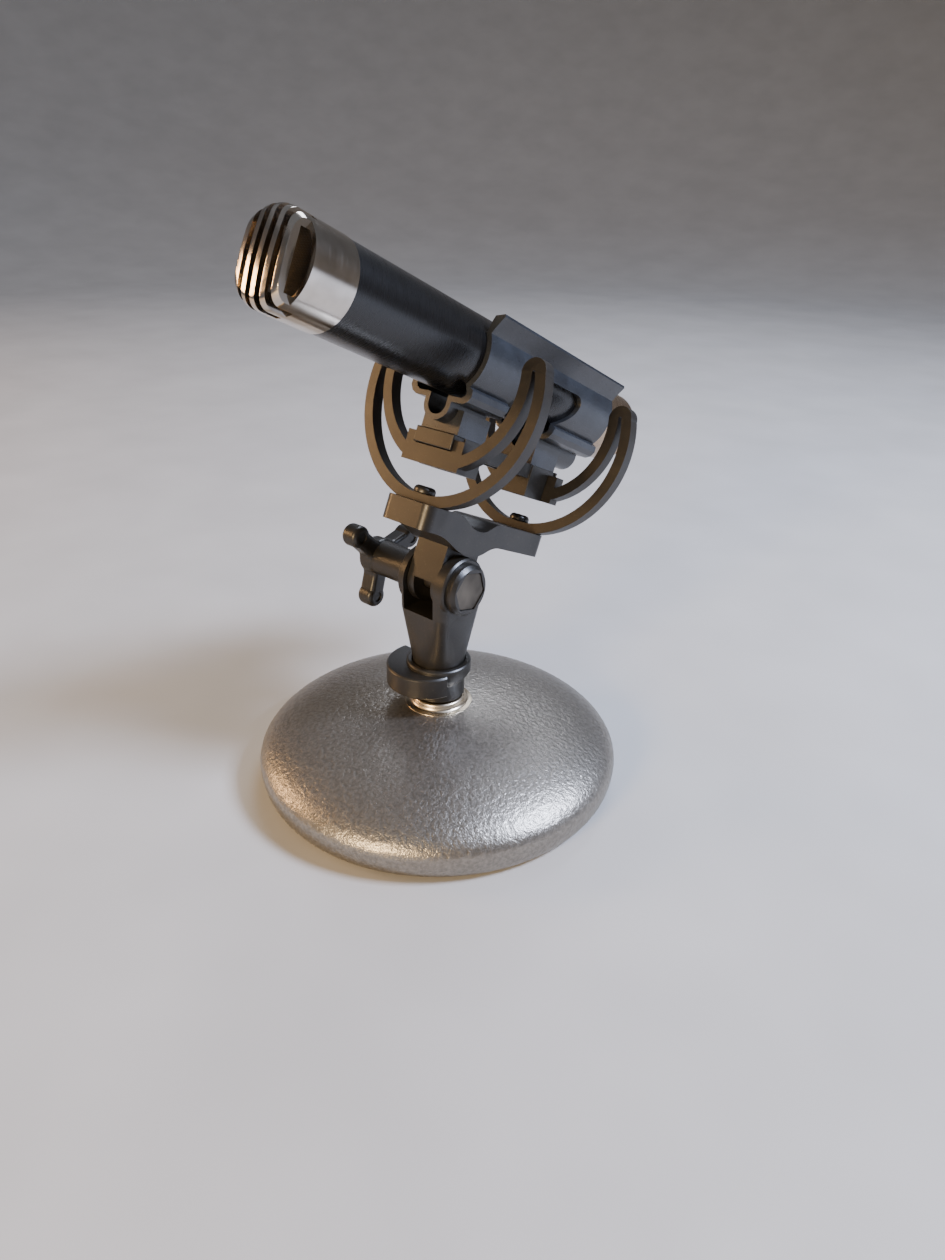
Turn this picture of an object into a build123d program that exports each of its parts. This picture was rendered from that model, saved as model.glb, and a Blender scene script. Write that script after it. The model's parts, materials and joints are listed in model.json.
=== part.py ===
from build123d import *
import os
from math import cos, radians, sin, sqrt

# Small condenser microphone on a shock mount, a tilting swivel and a round desk base.
# Millimetres, +Z up.  The origin is the centre of the base pad's underside.
# The microphone points towards -Y and upwards; the swivel bolt lies along X.

# ---------------------------------------------------------------- base and stand
BASE_R = 52.5            # outer radius of the cast base
BASE_EDGE_H = 7.5        # height of the widest line of the base above the table
DOME_TOP = (9.2, 23.3)   # where the dome meets the centre boss, as radius and height
DOME_PULL = ((52.5, 15.7), (25.6, 22.4))    # control points of the dome's curve
BOSS_R = 7.7             # bare metal boss in the middle of the dome
BOSS_TOP = 25.6
PAD_R = 46.0
PAD_H = 2.0
PAD_PROUD = 0.8          # how far the pad stands below the casting
STUD_R = 4.76            # 3/8 inch stand thread
STUD_BOTTOM = 10.0
STUD_TOP = 44.0
THREAD_PLAY = 0.05       # running clearance of the threaded pairs

COLLAR_R = 7.4           # plain lower end of the lock ring
COLLAR_Z = (26.0, 31.0)
FLANGE_R = 9.2           # upper flange, which cups the stem
FLANGE_Z = (34.0, 37.2)
CUP_R = 7.75
CUP_Z = 33.6             # floor of the cup
WING_R = 11.5            # finger wing, an eccentric crescent on the ring
WING_SHIFT = (-2.66, -2.28)
WING_Z = (29.6, 36.0)
WING_END = -33.0         # direction of the step that ends the wing, in degrees

STEM_Z = 34.0            # underside of the swivel's stem, inside the lock ring
STEM_R = 7.4
INSERT_R = 6.0           # brass thread insert moulded into the stem
INSERT_H = 11.0

# ---------------------------------------------------------------- swivel
SWIVEL_Z = 61.5          # height of the tilt axis
TILT = 24.6              # how far the microphone looks up, in degrees
EAR_R = 8.4              # round top of the two fork ears
EAR_IN = 5.5             # inner face of an ear, from the middle plane
EAR_HEAD_X = 9.0         # outer face on the bolt head's side
EAR_KNOB_X = 7.9         # outer face on the knob's side
FORK_CORNER = 3.0
SLOT_Z = 54.0            # floor of the slot between the ears
HEAD_BOSS_R = 7.15       # round boss that holds the bolt head
HEAD_BOSS_X = 11.5
BOLT_R = 3.0             # M6
BOLT_HEAD_AF = 10.0
BOLT_HEAD_H = 3.4
BOLT_HEAD_TURN = 15.0    # the hexagon stands a little turned
BOLT_HOLE_R = 3.06
BOLT_SEAT_X = HEAD_BOSS_X - BOLT_HEAD_H - 0.3
TONGUE_W = 10.6
TONGUE_R = 7.0
WASHER_R = 5.4
KNOB_GAP = 0.4           # washer thickness between ear and knob
KNOB_X = -EAR_KNOB_X - KNOB_GAP
KNOB_HUB_R = 5.0
KNOB_HUB_L = 13.0
KNOB_LOBE_L = 5.5
KNOB_LOBE_R = 3.2
KNOB_ARM_W = 5.2
KNOB_REACH = 11.75       # lobe centres from the bolt axis
KNOB_LOBE_ANGLE = 76.0
KNOB_BUSH_R = 4.0
KNOB_BUSH_L = 12.0
DIMPLE_R = 1.5
DIMPLE_DEPTH = 0.4

# ---------------------------------------------------------------- shock mount
# Upper frame: origin on the tilt axis, +Y towards the microphone's rear, +Z away from the bar.
AXIS_H = 57.0            # microphone axis above the tilt axis
BAR_W = 16.4
BAR_BOTTOM = 12.6
BAR_TOP = 19.0
DIP_BOTTOM = (-0.5, 8.8)     # lowest point of the underside, along the bar and height
DIP_TOP = (1.0, 15.8)        # lowest point of the top
BAR_CORNER = 3.0
BAR_FRONT = -21.5
BAR_REAR = 32.0
LYRE_Y = (-16.0, 28.0)   # middle planes of the two lyres
LYRE_T = 3.6             # lyre thickness along the microphone
BAND_T = 3.0             # width of the lyre's bands
OUT_C, OUT_R = 46.5, 27.0    # outer band: centre height and centre-line radius
IN_C, IN_R = 51.0, 21.9      # inner band
HAIRPIN_Z = 56.0             # height where both bands meet the hairpin
FOOT_HALF = 4.0              # thickened foot round the cap pin
FOOT_TOP = 21.2
WEB_HALF = 9.6
WEB_BOTTOM = 28.5
WEB_TOP = 33.2
CHEEK_TOP = 36.2             # the web's two cheeks beside the rail
PIN_R = 1.57                 # cap pins that hold the lyres on the bar
PIN_HOLE_R = 1.6
PIN_HEAD_R = 2.9
PIN_HEAD_TOP = 23.2
RAIL_W = 12.0
RAIL_PLAY = 0.1
RAIL_BOTTOM = 33.4
RAIL_TOP = 37.4
BLOCK_W = 13.0
BLOCK_BOTTOM = 28.4
BLOCK_L = 8.6                # length of the block beside each lyre
KEY_W = 12.8
KEY_T = 0.95                 # cover plate over each end of the rail
SCREW_Y = (-11.0, 23.0)      # clip screws
SCREW_R = 1.25
SCREW_HEAD_R = 2.4

# ---------------------------------------------------------------- clip
CLIP_FRONT = -21.0
CLIP_REAR = 40.5
BODY_R = 10.3            # painted tube and rear sleeve
CLIP_GAP = 0.05          # the tube is a sliding fit in the clip
CLIP_T = 1.4
WELL_R = 3.6             # centre line of the U channel under the tube
WELL_Z = -13.2           # its centre, below the microphone axis
WELL_TOP = -10.95        # where the channel's walls turn out into the two shoulders
BAND_LOW = -46.0         # directions of the C band's lower and upper ends, in degrees
BAND_HIGH = 31.0
LIP = ((9.7, 8.4), (10.2, 9.6), (12.9, 10.2), (13.1, 9.6), (11.1, 6.6))    # flared lip, x and z
SHOULDER_OUT = ((10.0, -8.6), (10.1, -10.2), (9.2, -11.6), (7.7, -12.3))
SHOULDER_IN = ((7.0, -10.9), (8.0, -10.3), (8.3, -9.4), (7.8, -8.6))
CLIP_FEET = ((-17.4, -6.0), (16.4, 28.6))                                   # along the microphone
CLIP_FOOT_W = 12.4

# ---------------------------------------------------------------- microphone, along Y
MIC_R = 10.5             # plated head
HEAD_TIP = -81.6
NOTCH_Y = -77.0
JOINT_Y = -65.0
SLEEVE_Y = 40.0
MIC_REAR = 58.0
HEAD_WALL = 1.2
SLAT_PITCH = 3.0
SLAT_T = 1.4
SLOT_FLOOR = -74.6
NOSE_FILLET = 3.0
NOSE_DOME_R = 55.0       # gentle dome of the slats' front
TUBE_WALL = 1.2
MESH_R = MIC_R - HEAD_WALL - 0.1
MESH_Y = (SLOT_FLOOR + 0.2, SLOT_FLOOR + 0.7)
CAPSULE_R = 8.2
CAPSULE_Y = (-73.4, -66.2)
DIAPHRAGM_Y = (-72.6, -72.4)
BACKPLATE_R = 6.6
BACKPLATE_Y = (-72.2, -70.4)
INSULATOR_R = 7.3
INSULATOR_Y = (-70.35, -67.2)
CONTACT_R = 1.1
CONTACT_Y = (-67.15, -61.2)
CONTACT_CAP_R = 2.0
CONTACT_CAP_Y = (-61.8, -60.8)
JOINT_RING_Y = (-66.0, -56.0)
SPIGOT_R = MIC_R - TUBE_WALL - 0.05     # joint ring and sleeve seat, inside the tube
BOARD_W = 16.0
BOARD_T = 1.6
BOARD_Y = (-54.0, 33.0)
XLR_BORE_R = 8.1
XLR_DEPTH = 16.0
XLR_PIN_R = 1.2
XLR_PIN_CIRCLE = 4.0
XLR_PIN_TURNS = (70, -70, 180)      # places of the pins round the circle, in degrees
SET_SCREW_R = 1.2
SET_SCREW_Y = 45.0

os.makedirs("parts", exist_ok=True)
UPPER = Pos(0, 0, SWIVEL_Z) * Rot(-TILT, 0, 0)


def save(name, shape, upper=False):
    """Write one node; parts of the tilting assembly are moved into the stand's frame."""
    if upper:
        shape = UPPER * shape
    export_step(shape, "parts/" + name + ".step")


def block(x0, x1, y0, y1, z0, z1):
    """Box between two corners."""
    return Pos((x0 + x1) / 2, (y0 + y1) / 2, (z0 + z1) / 2) * Box(x1 - x0, y1 - y0, z1 - z0)


def rod_x(radius, x0, x1, y=0.0, z=0.0):
    """Cylinder along X."""
    return Pos((x0 + x1) / 2, y, z) * Rot(0, 90, 0) * Cylinder(radius, x1 - x0)


def rod_y(radius, y0, y1, x=0.0, z=0.0):
    """Cylinder along Y."""
    return Pos(x, (y0 + y1) / 2, z) * Rot(90, 0, 0) * Cylinder(radius, y1 - y0)


def rod_z(radius, z0, z1, x=0.0, y=0.0):
    """Cylinder along Z."""
    return Pos(x, y, (z0 + z1) / 2) * Cylinder(radius, z1 - z0)


def tube_y(outer, inner, y0, y1, z=AXIS_H):
    """Tube round the microphone axis."""
    return rod_y(outer, y0, y1, z=z) - rod_y(inner, y0 - 1, y1 + 1, z=z)


def lathe(points):
    """Revolve straight-sided points (radius, height) about Z."""
    return revolve(make_face(Polyline(*[(r, 0, z) for r, z in points], close=True)), Axis.Z)


# ---------------------------------------------------------------- the round base
def base_casting():
    """Domed casting with a bare boss, a shallow pad recess and the stud hole."""
    rim = (BASE_R, 0, BASE_EDGE_H)
    crown = (DOME_TOP[0], 0, DOME_TOP[1])
    foot = (BASE_R - 3.4, 0, PAD_PROUD)
    dome = Bezier(rim, *[(r, 0, z) for r, z in DOME_PULL], crown)
    skirt = ThreePointArc(foot, (BASE_R - 0.8, 0, 3.6), rim)
    rest = Polyline(
        crown, (BOSS_R, 0, DOME_TOP[1] + 0.9), (BOSS_R, 0, BOSS_TOP - 0.5), (BOSS_R - 0.5, 0, BOSS_TOP),
        (0, 0, BOSS_TOP), (0, 0, PAD_PROUD), foot)
    body = revolve(make_face(Curve() + [dome, rest, skirt]), Axis.Z)
    body -= rod_z(PAD_R + 0.15, 0, PAD_H)
    return body - rod_z(STUD_R + 0.03, STUD_BOTTOM, BOSS_TOP + 1)


save("base_casting", base_casting())
save("base_pad", chamfer(rod_z(PAD_R, 0, PAD_H).edges().group_by(Axis.Z)[0], 0.4))
save("stand_stud", chamfer(rod_z(STUD_R, STUD_BOTTOM, STUD_TOP).edges().group_by(Axis.Z)[-1], 0.9))


# ---------------------------------------------------------------- lock ring
def lock_ring():
    """Threaded ring: plain collar, cupped flange for the stem and a crescent finger wing."""
    ring = lathe([
        (0, COLLAR_Z[0]), (COLLAR_R - 0.5, COLLAR_Z[0]), (COLLAR_R, COLLAR_Z[0] + 0.5),
        (COLLAR_R, COLLAR_Z[1]), (FLANGE_R, FLANGE_Z[0]), (FLANGE_R, FLANGE_Z[1] - 0.4),
        (FLANGE_R - 0.4, FLANGE_Z[1]), (0, FLANGE_Z[1])])
    wing = rod_z(WING_R, *WING_Z, *WING_SHIFT)
    wing = chamfer(wing.edges().filter_by(GeomType.CIRCLE), 0.5)
    end = radians(WING_END)
    sector = Polygon((0, 0), (30 * cos(end), 30 * sin(end)), (30, -30), (-30, -30), (-30, 0), align=None)
    ring += wing & extrude(sector, FLANGE_Z[1], both=True)
    ring -= rod_z(CUP_R, CUP_Z, FLANGE_Z[1] + 1)
    return ring - rod_z(STUD_R + THREAD_PLAY, COLLAR_Z[0] - 1, CUP_Z + 1)


save("lock_ring", lock_ring())


# ---------------------------------------------------------------- swivel fork
def hexagon(across_flats):
    """Hexagon of the bolt head, turned as it stands."""
    return Rot(0, 0, BOLT_HEAD_TURN) * RegularPolygon(across_flats / 2, 6, major_radius=False)


def swivel_fork():
    """Stem that swells into a square block with two ears and a round boss for the bolt head."""
    middle = (EAR_HEAD_X - EAR_KNOB_X) / 2
    width = EAR_HEAD_X + EAR_KNOB_X
    square = Pos(middle, 0) * RectangleRounded(width, 2 * EAR_R, FORK_CORNER)
    fork = rod_z(STEM_R, STEM_Z, FLANGE_Z[1])
    fork += loft([Pos(0, 0, FLANGE_Z[1]) * Circle(STEM_R), Pos(0, 0, SLOT_Z) * square])
    fork += Pos(0, 0, SLOT_Z) * extrude(square, SWIVEL_Z - SLOT_Z)
    ears = rod_x(EAR_R, -EAR_KNOB_X, EAR_HEAD_X, z=SWIVEL_Z)
    fork += chamfer(ears.edges().filter_by(GeomType.CIRCLE), 0.5)
    fork -= block(-EAR_IN, EAR_IN, -EAR_R - 1, EAR_R + 1, SLOT_Z, SWIVEL_Z + EAR_R + 1)
    boss = rod_x(HEAD_BOSS_R, EAR_HEAD_X - 0.8, HEAD_BOSS_X, z=SWIVEL_Z)
    fork += chamfer(boss.edges().group_by(Axis.X)[-1], 1.0)
    fork -= rod_x(BOLT_HOLE_R, -20, 20, z=SWIVEL_Z)
    fork -= Pos(BOLT_SEAT_X, 0, SWIVEL_Z) * Rot(0, 90, 0) * extrude(hexagon(BOLT_HEAD_AF + 0.2), 8)
    return fork - rod_z(INSERT_R, STEM_Z - 1, STEM_Z + INSERT_H)


def thread_insert():
    """Brass insert with the stand thread."""
    bush = rod_z(INSERT_R, STEM_Z, STEM_Z + INSERT_H)
    return bush - rod_z(STUD_R + THREAD_PLAY, STEM_Z - 1, STEM_Z + INSERT_H + 1)


def swivel_bolt():
    """Hexagon bolt that runs through the fork and into the knob."""
    head = Pos(BOLT_SEAT_X, 0, SWIVEL_Z) * Rot(0, 90, 0) * extrude(hexagon(BOLT_HEAD_AF), BOLT_HEAD_H)
    rim = rod_x(BOLT_HEAD_AF / 2 + 0.75, BOLT_SEAT_X, BOLT_SEAT_X + BOLT_HEAD_H, z=SWIVEL_Z)
    head &= chamfer(rim.edges().group_by(Axis.X)[-1], 0.35)
    return head + rod_x(BOLT_R, KNOB_X - KNOB_BUSH_L + 1.0, BOLT_SEAT_X, z=SWIVEL_Z)


save("swivel_fork", swivel_fork())
save("thread_insert", thread_insert())
save("swivel_bolt", swivel_bolt())


# ---------------------------------------------------------------- clamping knob
def knob_lobe_outline():
    """Three round lobes joined by hollow sides, in the XY plane."""
    outline = Circle(KNOB_HUB_R + 0.4)
    for k in range(3):
        turn = Rot(0, 0, KNOB_LOBE_ANGLE + 120 * k)
        outline += turn * Pos(KNOB_REACH, 0) * Circle(KNOB_LOBE_R)
        outline += turn * Pos(KNOB_REACH / 2, 0) * Rectangle(KNOB_REACH, KNOB_ARM_W)
    return outline


def clamp_knob():
    """Moulded knob: round hub beside the ear, three lobes with shallow dimples."""
    lobes = extrude(knob_lobe_outline(), KNOB_LOBE_L)
    corners = lobes.edges().filter_by(Axis.Z).filter_by(lambda e: e.center().X**2 + e.center().Y**2 < 90)
    lobes = fillet(corners, 2.2)
    lobes = fillet(lobes.edges().group_by(Axis.Z)[-1] + lobes.edges().group_by(Axis.Z)[0], 1.3)
    hub = Cylinder(KNOB_HUB_R, KNOB_HUB_L + 1, align=(Align.CENTER, Align.CENTER, Align.MIN))
    knob = Pos(0, 0, KNOB_HUB_L) * lobes + chamfer(hub.edges().group_by(Axis.Z)[0], 0.4)
    for k in range(3):
        for level in (KNOB_HUB_L, KNOB_HUB_L + KNOB_LOBE_L):
            dimple = Pos(KNOB_REACH, 0, level) * Cylinder(DIMPLE_R, 2 * DIMPLE_DEPTH)
            knob -= Rot(0, 0, KNOB_LOBE_ANGLE + 120 * k) * dimple
    return knob - Cylinder(KNOB_BUSH_R, 2 * KNOB_BUSH_L + 0.6)


def knob_insert():
    """Threaded brass bush inside the knob."""
    bush = Cylinder(KNOB_BUSH_R, KNOB_BUSH_L, align=(Align.CENTER, Align.CENTER, Align.MIN))
    return bush - Cylinder(BOLT_HOLE_R, 3 * KNOB_BUSH_L)


TO_KNOB = Pos(KNOB_X, 0, SWIVEL_Z) * Rot(0, -90, 0)
save("clamp_knob", TO_KNOB * clamp_knob())
save("knob_insert", TO_KNOB * knob_insert())
washer = rod_x(WASHER_R, KNOB_X + 0.05, -EAR_KNOB_X, z=SWIVEL_Z)
save("knob_washer", washer - rod_x(BOLT_HOLE_R, KNOB_X - 1, 0, z=SWIVEL_Z))


# ---------------------------------------------------------------- lower bar with its tongue
def wave_bar():
    """Bar that dips over the swivel, with a tongue for the fork."""
    dip_y, dip_z = DIP_BOTTOM
    crest_y, crest_z = DIP_TOP
    face = Curve() + [
        Line((BAR_FRONT, BAR_BOTTOM), (-18.0, BAR_BOTTOM)),
        Bezier((-18.0, BAR_BOTTOM), (-10.0, BAR_BOTTOM), (-8.5, dip_z), (dip_y, dip_z)),
        Bezier((dip_y, dip_z), (5.5, dip_z), (6.0, BAR_BOTTOM), (11.5, BAR_BOTTOM)),
        Line((11.5, BAR_BOTTOM), (BAR_REAR, BAR_BOTTOM)),
        Line((BAR_REAR, BAR_BOTTOM), (BAR_REAR, BAR_TOP)),
        Line((BAR_REAR, BAR_TOP), (10.0, BAR_TOP)),
        Bezier((10.0, BAR_TOP), (5.5, BAR_TOP), (5.5, crest_z), (crest_y, crest_z)),
        Bezier((crest_y, crest_z), (-5.0, crest_z), (-5.0, BAR_TOP), (-12.0, BAR_TOP)),
        Line((-12.0, BAR_TOP), (BAR_FRONT, BAR_TOP)),
        Line((BAR_FRONT, BAR_TOP), (BAR_FRONT, BAR_BOTTOM)),
    ]
    bar = extrude(Plane.YZ * make_face(face), BAR_W / 2, both=True)
    bar = fillet(bar.edges().filter_by(Axis.Z), BAR_CORNER)
    tongue = block(-TONGUE_W / 2, TONGUE_W / 2, -TONGUE_R, TONGUE_R, 0, 13.5)
    tongue += rod_x(TONGUE_R, -TONGUE_W / 2, TONGUE_W / 2)
    tongue -= block(-2.9, 3.3, -TONGUE_R - 1, 3.6, -TONGUE_R - 1, -0.6)
    bar += tongue
    return bar - rod_x(BOLT_HOLE_R + 0.04, -20, 20)


lower_bar = wave_bar()
for y in LYRE_Y:
    lower_bar -= rod_z(PIN_HOLE_R, 8, 30, y=y)
save("lower_bar", lower_bar, upper=True)


def cap_pin(y):
    """Round-headed pin that holds a lyre down on the bar."""
    head = rod_z(PIN_HEAD_R, FOOT_TOP + 0.05, PIN_HEAD_TOP, y=y)
    return fillet(head.edges().group_by(Axis.Z)[-1], 1.2) + rod_z(PIN_R, 13.4, FOOT_TOP + 0.1, y=y)


save("lyre_pins", Compound(children=[UPPER * cap_pin(y) for y in LYRE_Y]))


# ---------------------------------------------------------------- lyres
def band_point(radius, centre, z):
    """X of a band's circle at height z."""
    return sqrt(radius**2 - (z - centre)**2)


def lyre(y):
    """W-shaped elastic lyre: outer U, two hairpins and an inner cradle, one flat plate."""
    half = BAND_T / 2
    outer = Circle(OUT_R + half) - Circle(OUT_R - half)
    inner = Circle(IN_R + half) - Circle(IN_R - half)
    outer = Pos(0, OUT_C) * outer & Pos(0, HAIRPIN_Z - 30) * Rectangle(80, 60)
    inner = Pos(0, IN_C) * inner & Pos(0, HAIRPIN_Z - 30) * Rectangle(80, 60)
    plate = outer + inner
    x_out = band_point(OUT_R, OUT_C, HAIRPIN_Z)
    x_in = band_point(IN_R, IN_C, HAIRPIN_Z)
    bend_r = (x_out - x_in) / 2
    for side in (-1, 1):
        bend = Pos(side * (x_out + x_in) / 2, HAIRPIN_Z) * (Circle(bend_r + half) - Circle(bend_r - half))
        plate += bend & Pos(side * 20, HAIRPIN_Z + 9.9) * Rectangle(39, 20)
    plate += Pos(0, (WEB_BOTTOM + CHEEK_TOP) / 2) * Rectangle(2 * WEB_HALF, CHEEK_TOP - WEB_BOTTOM)
    plate -= Pos(0, WEB_BOTTOM - 1) * Rectangle(2 * WEB_HALF, 2)
    plate += Pos(0, FOOT_TOP - 1.5) * Rectangle(2 * FOOT_HALF, 3)
    solid = Pos(0, y, 0) * extrude(Plane.XZ * plate, LYRE_T / 2, both=True)
    solid -= block(-BAR_W / 2 - 0.2, BAR_W / 2 + 0.2, y - 5, y + 5, 10, BAR_TOP)
    notch = RAIL_W / 2 + RAIL_PLAY
    solid -= block(-notch, notch, y - 5, y + 5, WEB_TOP, 40)
    return solid - rod_z(PIN_HOLE_R, 10, 26, y=y)


for name, y in zip(("front_lyre", "rear_lyre"), LYRE_Y):
    save(name, lyre(y), upper=True)


# ---------------------------------------------------------------- upper rail
def upper_rail():
    """Rail through both lyre webs, with a block beside each lyre."""
    front = LYRE_Y[0] - LYRE_T / 2
    rear = LYRE_Y[1] + LYRE_T / 2
    inner_front = LYRE_Y[0] + LYRE_T / 2 + RAIL_PLAY
    inner_rear = LYRE_Y[1] - LYRE_T / 2 - RAIL_PLAY
    rail = block(-RAIL_W / 2, RAIL_W / 2, front, rear, RAIL_BOTTOM, RAIL_TOP)
    for y0, y1 in ((inner_front, inner_front + BLOCK_L), (inner_rear - BLOCK_L, inner_rear)):
        rail += block(-BLOCK_W / 2, BLOCK_W / 2, y0, y1, BLOCK_BOTTOM, RAIL_TOP)
    rail -= block(-3.4, 3.4, -4.5, 16.0, RAIL_BOTTOM - 1, RAIL_BOTTOM + 2.2)
    for y in SCREW_Y:
        rail -= rod_z(SCREW_R + 0.05, BLOCK_BOTTOM - 1, RAIL_TOP + 1, y=y)
        rail -= rod_z(SCREW_HEAD_R + 0.2, BLOCK_BOTTOM - 1, BLOCK_BOTTOM + 2.4, y=y)
    return rail


def lyre_key(y, outward):
    """Cover plate on the rail's end, which keeps the lyre on the rail."""
    near = y + outward * LYRE_T / 2
    far = near + outward * KEY_T
    plate = block(-KEY_W / 2, KEY_W / 2, min(near, far), max(near, far), RAIL_BOTTOM, RAIL_TOP + 0.1)
    outer = plate.faces().sort_by(Axis.Y)[-1 if outward > 0 else 0]
    return chamfer(outer.edges(), 0.2)


def clip_screw(y):
    """Pan head screw from below the rail's block up into the clip's foot."""
    shank = rod_z(SCREW_R, BLOCK_BOTTOM + 1.0, 42.0, y=y)
    head = rod_z(SCREW_HEAD_R, BLOCK_BOTTOM + 0.3, BLOCK_BOTTOM + 2.3, y=y)
    slot = block(-0.4, 0.4, y - 3, y + 3, BLOCK_BOTTOM, BLOCK_BOTTOM + 1.0)
    return head + shank - slot


save("upper_rail", upper_rail(), upper=True)
save("clip_screws", Compound(children=[UPPER * clip_screw(y) for y in SCREW_Y]))


# ---------------------------------------------------------------- microphone clip
def clip_section():
    """One side of the clip's section, as a band built from overlapping pieces, in XZ."""
    inner = BODY_R + CLIP_GAP
    outer = inner + CLIP_T
    ring = Circle(outer) - Circle(inner)
    low, high = radians(BAND_LOW), radians(BAND_HIGH)
    step = radians(4)
    keep = Polygon(
        (0, 0), (30 * cos(low), 30 * sin(low)), (40, 0), (30 * cos(high), 30 * sin(high)), align=None)
    band = ring & keep
    lip_start = (inner * cos(high - step / 4), inner * sin(high - step / 4))
    lip_end = (outer * cos(high - step), outer * sin(high - step))
    band += Polygon(lip_start, *LIP, lip_end, align=None)
    start = (inner * cos(low + step / 4), inner * sin(low + step / 4))
    elbow = (outer * cos(low + step), outer * sin(low + step))
    wall = WELL_R - CLIP_T / 2 + 0.2
    band += Polygon(
        start, elbow, *SHOULDER_OUT, (wall, SHOULDER_OUT[-1][1]), (wall, WELL_TOP), *SHOULDER_IN, align=None)
    well = Circle(WELL_R + CLIP_T / 2) - Circle(WELL_R - CLIP_T / 2)
    well &= Pos(5, -5) * Rectangle(10, 10)
    band += Pos(0, WELL_Z) * well
    band += Pos(WELL_R, (WELL_Z + WELL_TOP) / 2) * Rectangle(CLIP_T, WELL_TOP - WELL_Z + 0.02)
    return band


def mic_clip():
    """Spring clip: two C bands joined by an upper strip with flared lips, on two feet."""
    half = clip_section()
    section = half + mirror(half, Plane.YZ)
    clip = extrude(Plane.XZ * section, CLIP_REAR - CLIP_FRONT, dir=(0, 1, 0))
    clip = Pos(0, CLIP_FRONT, AXIS_H) * clip
    gap = Curve() + [
        Polyline((-6.0, 30), (-6.0, 46.0), (-4.5, 50.5), (4.0, 51.5)),
        ThreePointArc((4.0, 51.5), (6.0, 52.5), (6.8, 55.0)),
        Line((6.8, 55.0), (6.8, 57.3)),
        ThreePointArc((6.8, 57.3), (7.3, 58.4), (8.4, 58.8)),
        Line((8.4, 58.8), (20.8, 58.8)),
        ThreePointArc((20.8, 58.8), (22.9, 57.7), (23.0, 55.4)),
        Spline((23.0, 55.4), (19.6, 50.8), (16.6, 47.2), (16.4, 45.0)),
        Polyline((16.4, 45.0), (16.4, 30), (-6.0, 30)),
    ]
    clip -= extrude(Plane.YZ * make_face(gap), 30, both=True)
    floor = WELL_Z + AXIS_H - WELL_R
    for y0, y1 in CLIP_FEET:
        foot = block(-CLIP_FOOT_W / 2, CLIP_FOOT_W / 2, y0, y1, RAIL_TOP, floor + 3.4)
        foot -= rod_y(WELL_R, y0 - 1, y1 + 1, z=WELL_Z + AXIS_H)
        clip += foot
    for y in SCREW_Y:
        clip -= rod_z(SCREW_R + 0.02, RAIL_TOP - 1, 44.0, y=y)
    return clip


save("mic_clip", mic_clip(), upper=True)
for name, y, side in (("front_lyre_key", LYRE_Y[0], -1), ("rear_lyre_key", LYRE_Y[1], 1)):
    save(name, lyre_key(y, side), upper=True)


# ---------------------------------------------------------------- microphone
def slat_head():
    """Plated head: domed front cut into five slats, open at both sides."""
    shell = Pos(0, 0, AXIS_H) * Rot(90, 0, 0) * Cylinder(
        MIC_R, JOINT_Y - HEAD_TIP, align=(Align.CENTER, Align.CENTER, Align.MIN))
    shell = Pos(0, JOINT_Y, 0) * shell
    shell = fillet(shell.edges().group_by(Axis.Y)[0], NOSE_FILLET)
    shell &= Pos(0, HEAD_TIP + NOSE_DOME_R, AXIS_H) * Sphere(NOSE_DOME_R)
    hollow = rod_y(MIC_R - HEAD_WALL, HEAD_TIP + 2.4, JOINT_Y + 1, z=AXIS_H)
    head = shell - hollow
    slot_w = SLAT_PITCH - SLAT_T
    for k in range(4):
        x = (k - 1.5) * SLAT_PITCH
        head -= block(x - slot_w / 2, x + slot_w / 2, HEAD_TIP - 1, SLOT_FLOOR, 40, 75)
    side = 2 * SLAT_PITCH + SLAT_T / 2 + 0.1
    for sign in (-1, 1):
        head -= block(min(sign * side, sign * 20), max(sign * side, sign * 20), HEAD_TIP - 1, NOTCH_Y, 40, 75)
    return head


save("slat_head", slat_head(), upper=True)
save("head_mesh", rod_y(MESH_R, *MESH_Y, z=AXIS_H), upper=True)
save("capsule_ring", tube_y(MESH_R, CAPSULE_R - 0.7, *CAPSULE_Y), upper=True)
save("diaphragm", rod_y(CAPSULE_R - 0.75, *DIAPHRAGM_Y, z=AXIS_H), upper=True)
save("backplate", rod_y(BACKPLATE_R, *BACKPLATE_Y, z=AXIS_H), upper=True)
save("capsule_insulator", rod_y(INSULATOR_R, *INSULATOR_Y, z=AXIS_H), upper=True)
contact = rod_y(CONTACT_R, *CONTACT_Y, z=AXIS_H) + rod_y(CONTACT_CAP_R, *CONTACT_CAP_Y, z=AXIS_H)
save("capsule_contact", contact, upper=True)
save("body_tube", tube_y(BODY_R, MIC_R - TUBE_WALL, JOINT_Y + 0.1, SLEEVE_Y - 0.1), upper=True)
save("joint_ring", tube_y(SPIGOT_R, SPIGOT_R - 1.55, *JOINT_RING_Y), upper=True)
board = block(-BOARD_W / 2, BOARD_W / 2, *BOARD_Y, AXIS_H - BOARD_T / 2, AXIS_H + BOARD_T / 2)
save("circuit_board", board, upper=True)


def rear_sleeve():
    """Plated rear sleeve with a stepped seat inside the body tube and a rounded mouth."""
    sleeve = rod_y(BODY_R, SLEEVE_Y, MIC_REAR, z=AXIS_H)
    sleeve = chamfer(sleeve.edges().group_by(Axis.Y)[-1], 0.5)
    sleeve += rod_y(SPIGOT_R, SLEEVE_Y - 6, SLEEVE_Y + 0.5, z=AXIS_H)
    sleeve -= rod_y(XLR_BORE_R, MIC_REAR - XLR_DEPTH, MIC_REAR + 1, z=AXIS_H)
    sleeve -= rod_z(SET_SCREW_R + 0.02, AXIS_H - MIC_R - 1, AXIS_H - 7, y=SET_SCREW_Y)
    return sleeve - rod_y(XLR_BORE_R - 0.9, SLEEVE_Y - 8, MIC_REAR, z=AXIS_H)


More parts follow.
